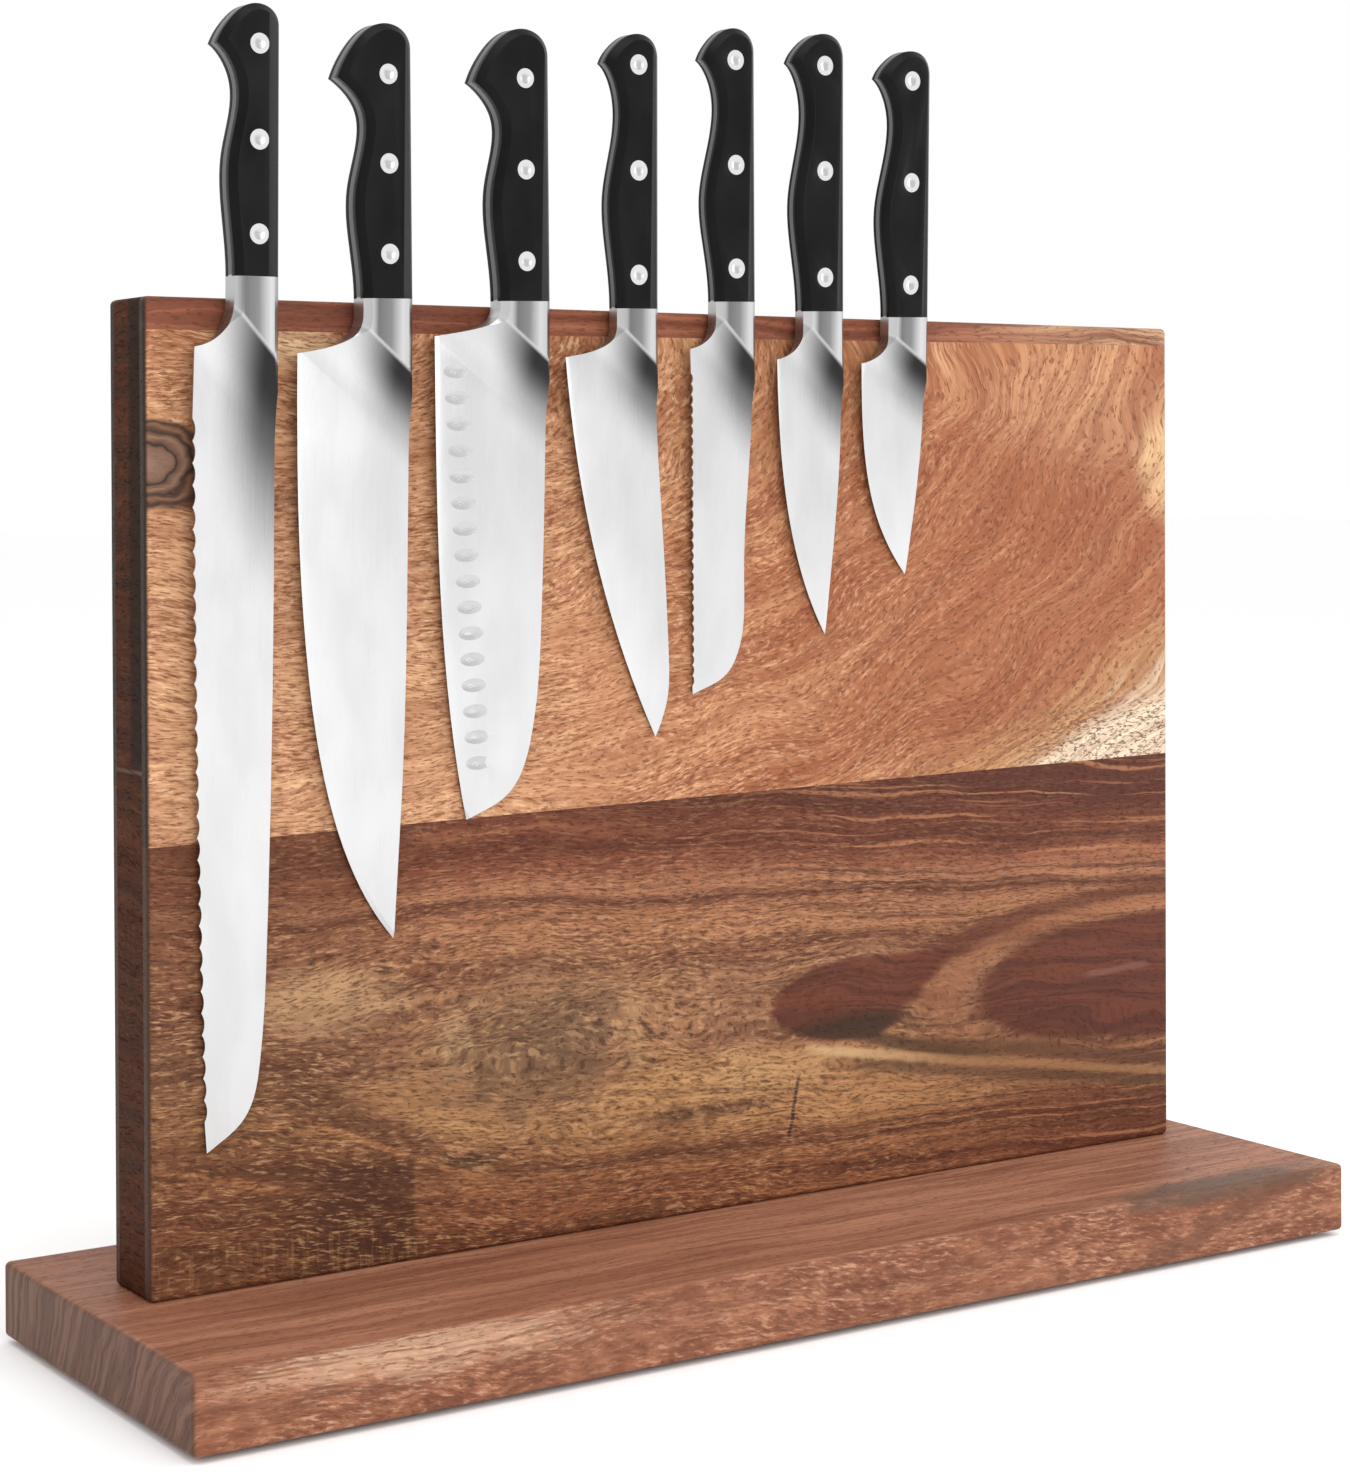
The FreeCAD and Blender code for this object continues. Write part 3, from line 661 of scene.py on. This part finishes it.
def core_board():
    """The core; its sawn ends are darker, as oil-dark end grain with painted shade, and a stain runs down
    the upper one's front half.
    """
    palette = ((0.100, 0.030, 0.014), (0.188, 0.063, 0.027), (0.288, 0.107, 0.055))
    made = straight_board("side_acacia_core", (14.0, -60.0), palette, 5.0)
    material, shader, (x, y, z), across, body, fibre, pore = made
    body = flecks(body, across, x + z, y, (0.053, 0.037, 0.027), (0.41, 0.20, 0.118), 0.5)
    end = rise(x.math("ABSOLUTE"), BOARD_END - 5.0, BOARD_END - 1.0)
    # Oil-dark end grain and painted shade: the ends are multiplied down.
    body = paint(end, body, (0.34, 0.27, 0.22), "MULTIPLY")
    stain = rise(z, 199.0, 205.0) * rise(y, 14.5, 10.5) * end
    body = paint(stain * 0.75, body, (0.011, 0.007, 0.005))
    body = paint(stripe(z - 201.5, 1.0) * end * 0.5, body, (0.20, 0.125, 0.090))
    close_board(material, shader, body, fibre, pore, (0.018, 0.010, 0.006))
    shader.inputs["Specular IOR Level"].default_value = DRY_SPECULAR
    return material


side_wood = core_board()
for node in ("lower_core_plank", "upper_core_plank"):
    dress(node, side_wood)
print("core finished")

# %% [markdown]
# The slab is seen on three sides, and each side shows the trunk in another way: a calm top, a
# front sawn through short torn fibres, and rings on the ends. One mask per side tells them apart.

# %% Base slab
BASE_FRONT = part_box("base_plate")[0].y / MM
BASE_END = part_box("base_plate")[1].x / MM
BASE_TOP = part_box("base_plate")[1].z / MM


def base_board():
    """The slab: a pinker top, a mottled and flecked front with a cream patch, and end rings."""
    palette = ((0.165, 0.056, 0.029), (0.27, 0.106, 0.058), (0.38, 0.172, 0.100))
    made = straight_board("base_wood_slab", (-125.0, -45.0), palette, 4.5)
    material, shader, (x, y, z), across, body, fibre, pore = made
    ripple = noise(x / 12, y / 9, z / 6, 3) - 0.5
    top = rise(z, BASE_TOP - 0.8, BASE_TOP - 0.1)
    light = paint(rise(fibre, 0.36, 0.62), (0.30, 0.125, 0.074), (0.46, 0.225, 0.140))
    body = paint(top * (rise(x, -160.0, 160.0) * 0.55 + 0.15), body, light)
    face = rise(y, BASE_FRONT + 1.6, BASE_FRONT + 0.4)
    front = paint(rise(ripple, -0.16, 0.20), (0.155, 0.050, 0.025), (0.33, 0.140, 0.074))
    body = paint(face * 0.6, body, front)
    torn = face * 0.55 + 0.12
    body = flecks(body, across + x * 0.1, x, y, (0.095, 0.034, 0.018), (0.64, 0.39, 0.25), torn)
    cream = spot(x, z, (-165.0, 22.0), (80.0, 9.0), ripple * 1.4) * face
    body = paint(cream * rise(fibre, 0.38, 0.58) * 0.55, body, (0.62, 0.40, 0.26))
    smear = oval(x, z - y * 0.35, (182.0, 54.0), (58.0, 4.0)) + ripple
    body = paint(rise(smear, 1.3, 0.4) * 0.8, body, (0.085, 0.062, 0.044))
    slant = stripe(z - 14.0 - (x - 175.0) * 0.30 + ripple * 9, 6.0) * rise(x, 128.0, 150.0) * face
    body = paint(slant * 0.65, body, (0.120, 0.052, 0.030))
    end = rise(x.math("ABSOLUTE"), BASE_END - 1.2, BASE_END - 0.1)
    ring = rise(noise(across / 3.4, y / 60, z / 60, 2), 0.42, 0.60)
    rings = paint(ring, (0.070, 0.040, 0.028), (0.150, 0.085, 0.058))
    body = paint(end * 0.85, body, rings)
    return close_board(material, shader, body, fibre, pore, (0.14, 0.053, 0.031))


dress("base_plate", base_board())
print("base finished")

# %% [markdown]
# Dowels, screws, magnets, backing strips and feet are inside or under the rack. They still get
# the finish of the real thing, because the rack may be shown taken apart.

# %% Hidden parts
def metal(name, colour, rough, scratch_mm, worn):
    """Bare or plated metal with fine scratches and cloudy wear in its shine."""
    material, shader, x, y, z = start_finish(name)
    cloud = noise(x / 9, y / 9, z / 9, 3)
    scratch = noise(x / scratch_mm, y / scratch_mm, z / 12, 2, 0.6)
    tone = paint(rise(cloud, 0.35, 0.7) * 0.5, colour, worn)
    connect(shader, base_color=tone, roughness=rough + (cloud - 0.5) * 0.25)
    connect(shader, normal=bumps(scratch, 0.01), metallic=1.0)
    return material


def beech():
    material, shader, x, y, z = start_finish("dowel_wood_beech")
    fibre = fibres(x, z, y)
    fleck = rise(noise(x / 0.5, y / 0.5, z / 2.5, 1), 0.60, 0.68)
    body = ramp(fibre, (0.3, (0.50, 0.33, 0.18)), (0.7, (0.68, 0.50, 0.31)))
    body = paint(fleck * 0.5, body, (0.33, 0.18, 0.09))
    connect(shader, base_color=body, roughness=0.65 + fleck * 0.1, normal=bumps(fibre, 0.08))
    return material


def rubber():
    material, shader, x, y, z = start_finish("rubber_black")
    grain = noise(x / 0.4, y / 0.4, z / 0.4, 2)
    tone = paint(rise(grain, 0.35, 0.7), (0.018, 0.018, 0.018), (0.04, 0.04, 0.039))
    connect(shader, base_color=tone, roughness=0.75 + grain * 0.15, normal=bumps(grain, 0.05))
    return material


dress("dowels", beech())
dress("rubber_feet", rubber())
dress("board_screws", metal("screw_zinc", (0.60, 0.59, 0.55), 0.32, 0.5, (0.50, 0.49, 0.44)))
nickel = metal("magnet_nickel_plate", (0.66, 0.64, 0.60), 0.16, 0.8, (0.58, 0.56, 0.51))
for node in ("front_magnets", "back_magnets"):
    dress(node, nickel)
dress("backing_strips", metal("backing_mild_steel", (0.42, 0.42, 0.42), 0.45, 0.6, (0.33, 0.31, 0.29)))
print("hidden parts finished")

# %% [markdown]
# A hand feels no sharp corner on a knife's handle. Each knife part is copied from the CAD and its
# loose triangles are joined. On the scales, the corners of the flat CAD bevels are then rounded
# with a narrow bevel of three steps, because rounded corners are what catches light. The blades
# and rivets keep their ground corners and are only shaded smooth where their faces lie shallow.

# %% Round the corners of a forged or moulded part
def copy_joined(node):
    """A copy of a CAD node as one joined surface, with its flat faces whole again."""
    shape = bmesh.new()
    shape.from_mesh(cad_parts[node].data)
    bmesh.ops.remove_doubles(shape, verts=shape.verts, dist=0.000004)
    bmesh.ops.dissolve_limit(shape, angle_limit=math.radians(0.6), verts=shape.verts, edges=shape.edges)
    return shape


def round_corners(shape, low, high, width):
    """Bevels the edges whose faces meet at an angle between low and high degrees."""
    corners = []
    for edge in shape.edges:
        if edge.is_manifold and math.radians(low) < edge.calc_face_angle(0) < math.radians(high):
            corners.append(edge)
    bmesh.ops.bevel(
        shape, geom=corners, offset=width * MM, offset_type="OFFSET", segments=3,
        profile=0.5, affect="EDGES", clamp_overlap=True, material=-1,
    )


def place_piece(shape, name, body, node, material, sharp=32):
    """Makes the object, smooth but for its sharp edges, in place of the CAD node."""
    mesh = bpy.data.meshes.new(name)
    bmesh.ops.triangulate(shape, faces=[f for f in shape.faces if len(f.verts) > 4])
    for edge in shape.edges:
        one_finish = len({face.material_index for face in edge.link_faces}) == 1
        edge.smooth = one_finish and edge.calc_face_angle(0) < math.radians(sharp)
    shape.to_mesh(mesh)
    shape.free()
    mesh.shade_smooth()
    mesh.materials.append(material)
    piece = bpy.data.objects.new(name, mesh)
    bpy.context.scene.collection.objects.link(piece)
    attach(piece, body)
    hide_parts(node)
    return piece


print("rounding tools ready")

# %% [markdown]
# The scales are a hard black plastic with a satin surface: nearly black, with a fine even grain
# from the mould.

# %% Handle scales
def handle_plastic():
    material, shader, x, y, z = start_finish("handle_black_satin")
    grain = noise(x / 0.35, y / 0.35, z / 0.35, 2)
    cloud = noise(x / 14, y / 14, z / 22, 3)
    tone = paint(rise(cloud, 0.3, 0.7), (0.0020, 0.0020, 0.0021), (0.0045, 0.0045, 0.0045))
    rough = 0.30 + (cloud - 0.5) * 0.10 + grain * 0.06
    connect(shader, base_color=tone, roughness=rough, normal=bumps(grain, 0.006))
    shader.inputs["Specular IOR Level"].default_value = 0.12
    return material


SPINE_TILT = math.radians(18)
SPINE_FACET = 4.6 * MM


def ease_spine(shape, side):
    """Planes a wide shallow facet along the spine side of the outer face."""
    out = -1.0 if side == "front" else 1.0
    spine = max(v.co.x for v in shape.verts)
    flat = max((f for f in shape.faces if f.normal.y * out > 0.9), key=lambda f: f.calc_area())
    across = Vector((0, 0, 1)).cross(flat.normal).normalized()
    across = across if across.x > 0 else -across
    turned = flat.normal * math.cos(SPINE_TILT) + across * math.sin(SPINE_TILT)
    start = flat.calc_center_median()
    start.x = spine - SPINE_FACET
    whole = list(shape.verts) + list(shape.edges) + list(shape.faces)
    cut = bmesh.ops.bisect_plane(shape, geom=whole, plane_co=start, plane_no=turned, clear_outer=True)
    rim = [item for item in cut["geom_cut"] if isinstance(item, bmesh.types.BMEdge)]
    bmesh.ops.holes_fill(shape, edges=rim, sides=0)
    bmesh.ops.recalc_face_normals(shape, faces=shape.faces)


BEVEL_ROUND = 0.5
RIM_ROUND = 0.2
scale_finish = handle_plastic()
for knife in KNIVES:
    for side in ("front", "back"):
        node = knife + "_" + side + "_scale"
        shape = copy_joined(node)
        ease_spine(shape, side)
        round_corners(shape, 12, 60, BEVEL_ROUND)
        round_corners(shape, 80, 100, RIM_ROUND)
        place_piece(shape, node + "_moulded", knife + "_knife", node, scale_finish)
print("scales", 2 * len(KNIVES))

# %% [markdown]
# The blades are satin-ground stainless steel. Grinding leaves fine lines up and down the blade.
# Under the bolster the wheel runs out in a hollow, and its shade is painted dark into the steel's
# colour; painted highlights and shade also lie across the bolster and on the tang's edge.

# %% Blade steel and painted shade
def blade_steel(knife, left, right, shade_spread):
    """Satin steel with painted highlights and shade on the bolster, painted shade on the tang's edge and a
    painted dark shade in the hollow under a line from left to right.
    """
    material, shader, x, y, z = start_finish("blade_steel_" + knife)
    low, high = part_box(knife + "_front_scale")
    shoulder = low.z / MM
    spine = high.x / MM
    brush = noise(x / 0.22, y / 2, z / 26, 3, 0.65)
    cloud = noise(x / 16, y / 30, z / 40, 3)
    run = Vector((right[0] - left[0], right[1] - left[1])).normalized()
    across = x - spine - right[0]
    below = across * run.y - (z - shoulder - right[1]) * run.x
    # Mask of the painted shade: the ground hollow below the sweep line is darkened in the colour.
    hollow = rise(below, -0.4, 1.2) * rise(below, shade_spread, shade_spread * 0.12)
    hollow = hollow * (rise(across, -25.0, -5.0) * 0.88 + 0.12)
    tone = paint(rise(cloud, 0.3, 0.7), (0.63, 0.63, 0.633), (0.57, 0.57, 0.57))
    # Painted highlights and shade across the bolster: a light lip, dark grey, a bright band by the spine, a
    # dark rim.
    bolster = ramp(
        (across + 22.0) / 22.0,
        (0.0, (0.60, 0.60, 0.60)), (0.28, (0.50, 0.50, 0.50)), (0.38, (0.17, 0.17, 0.17)),
        (0.60, (0.24, 0.24, 0.24)), (0.80, (0.60, 0.60, 0.60)), (0.92, (0.52, 0.52, 0.52)),
        (1.0, (0.14, 0.14, 0.14)),
    )
    # Lays the painted light and shade of the bolster above the sweep line.
    tone = paint(rise(below, 0.4, -0.8), tone, bolster)
    # Paints the hollow's shade, nearly black, into the steel's colour.
    tone = paint(hollow, tone, (0.028, 0.028, 0.029))
    # A duller steel on the tang's edge above the shoulder, darkened further as painted shade.
    tone = paint(rise(z, shoulder + 0.2, shoulder + 0.8), tone, (0.13, 0.13, 0.13))
    rough = 0.30 + (brush - 0.5) * 0.16 - hollow * 0.05
    connect(shader, base_color=tone, roughness=rough, normal=bumps(brush, 0.004), metallic=1.0)
    return material


print("blade steel ready")

# %% [markdown]
# The santoku has shallow ground dimples by its edge. Their faces lean only a few degrees, too
# little to shade well, so they are found by that lean and get a slightly darker steel as painted shade.

# %% Dimples
DIMPLE_START = 20 * MM
DIMPLE_ROW = 22 * MM
DIMPLE_FACE = 6 * MM * MM


def mark_dimples(shape, knife):
    """Gives the dimples by the cutting edge the second material, a darker steel that paints their shade:
    small faces that lean a little.
    """
    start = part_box(knife + "_front_scale")[0].z - DIMPLE_START
    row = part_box(knife + "_blade")[0].x + DIMPLE_ROW
    marked = 0
    for face in shape.faces:
        lean = math.degrees(math.acos(min(1.0, abs(face.normal.y))))
        small = face.calc_area() < DIMPLE_FACE
        middle = face.calc_center_median()
        if small and 2.0 < lean < 16.0 and middle.z < start and middle.x < row:
            face.material_index = 1
            marked += 1
    print("dimple faces", marked)


print("dimple row", round(DIMPLE_ROW / MM), "mm from the edge")

# %% [markdown]
# The blades keep the shape of the CAD. Each gets its own steel, because the painted shade under
# its bolster lies at its own place: its sweep line is given by two points, in millimetres from the
# spine and the shoulder, and by how far the painted dark shade spreads down from it.

# %% Blades
HOLLOW_SHADES = {
    "bread": ((-12.4, -14.0), (0.7, -28.9), 60.0),
    "chef": ((-16.7, -10.9), (-0.3, -24.8), 27.0),
    "santoku": ((-16.8, -7.8), (-0.5, -20.4), 28.0),
    "cook": ((-14.9, -7.4), (0.7, -20.5), 28.0),
    "tomato": ((-14.3, -7.3), (0.7, -22.0), 30.0),
    "utility": ((-14.1, -7.5), (1.1, -21.5), 27.0),
    "paring": ((-16.2, -7.6), (-0.3, -17.8), 24.0),
}
# The darker steel that paints the shade of the dimples.
dimple_painted_shade = metal("blade_steel_dimples", (0.50, 0.50, 0.505), 0.28, 0.3, (0.43, 0.43, 0.43))
for knife in KNIVES:
    node = knife + "_blade"
    shape = copy_joined(node)
    finish = blade_steel(knife, *HOLLOW_SHADES[knife])
    dimpled = knife == "santoku"
    if dimpled:
        mark_dimples(shape, knife)
    blade = place_piece(shape, node + "_ground", knife + "_knife", node, finish, 15)
    if dimpled:
        blade.data.materials.append(dimple_painted_shade)
print("blades", len(KNIVES))

# %% [markdown]
# Each rivet is a polished steel pin, dished in the middle where the punch closed it.

# %% Rivets
def mark_dishes(shape):
    """Gives the hollow middle of each pin the second finish: its faces lean a little."""
    ends = [face for face in shape.faces if abs(face.normal.y) > 0.9]
    axis = max(ends, key=lambda face: face.calc_area()).normal.copy()
    for face in ends:
        face.material_index = int(abs(face.normal.dot(axis)) < 0.9998)


rivet_rim = metal("rivet_polished_rim", (0.80, 0.80, 0.80), 0.14, 0.3, (0.74, 0.74, 0.74))
rivet_dish = metal("rivet_punched_dish", (0.52, 0.52, 0.52), 0.22, 0.3, (0.46, 0.46, 0.46))
for knife in KNIVES:
    node = knife + "_rivets"
    shape = copy_joined(node)
    mark_dishes(shape)
    pins = place_piece(shape, node + "_dished", knife + "_knife", node, rivet_rim, 30)
    pins.data.materials.append(rivet_dish)
print("rivet sets", len(KNIVES))

# %% [markdown]
# The visual model keeps the size of the CAD model.

# %% Sizes
print("rack finished")
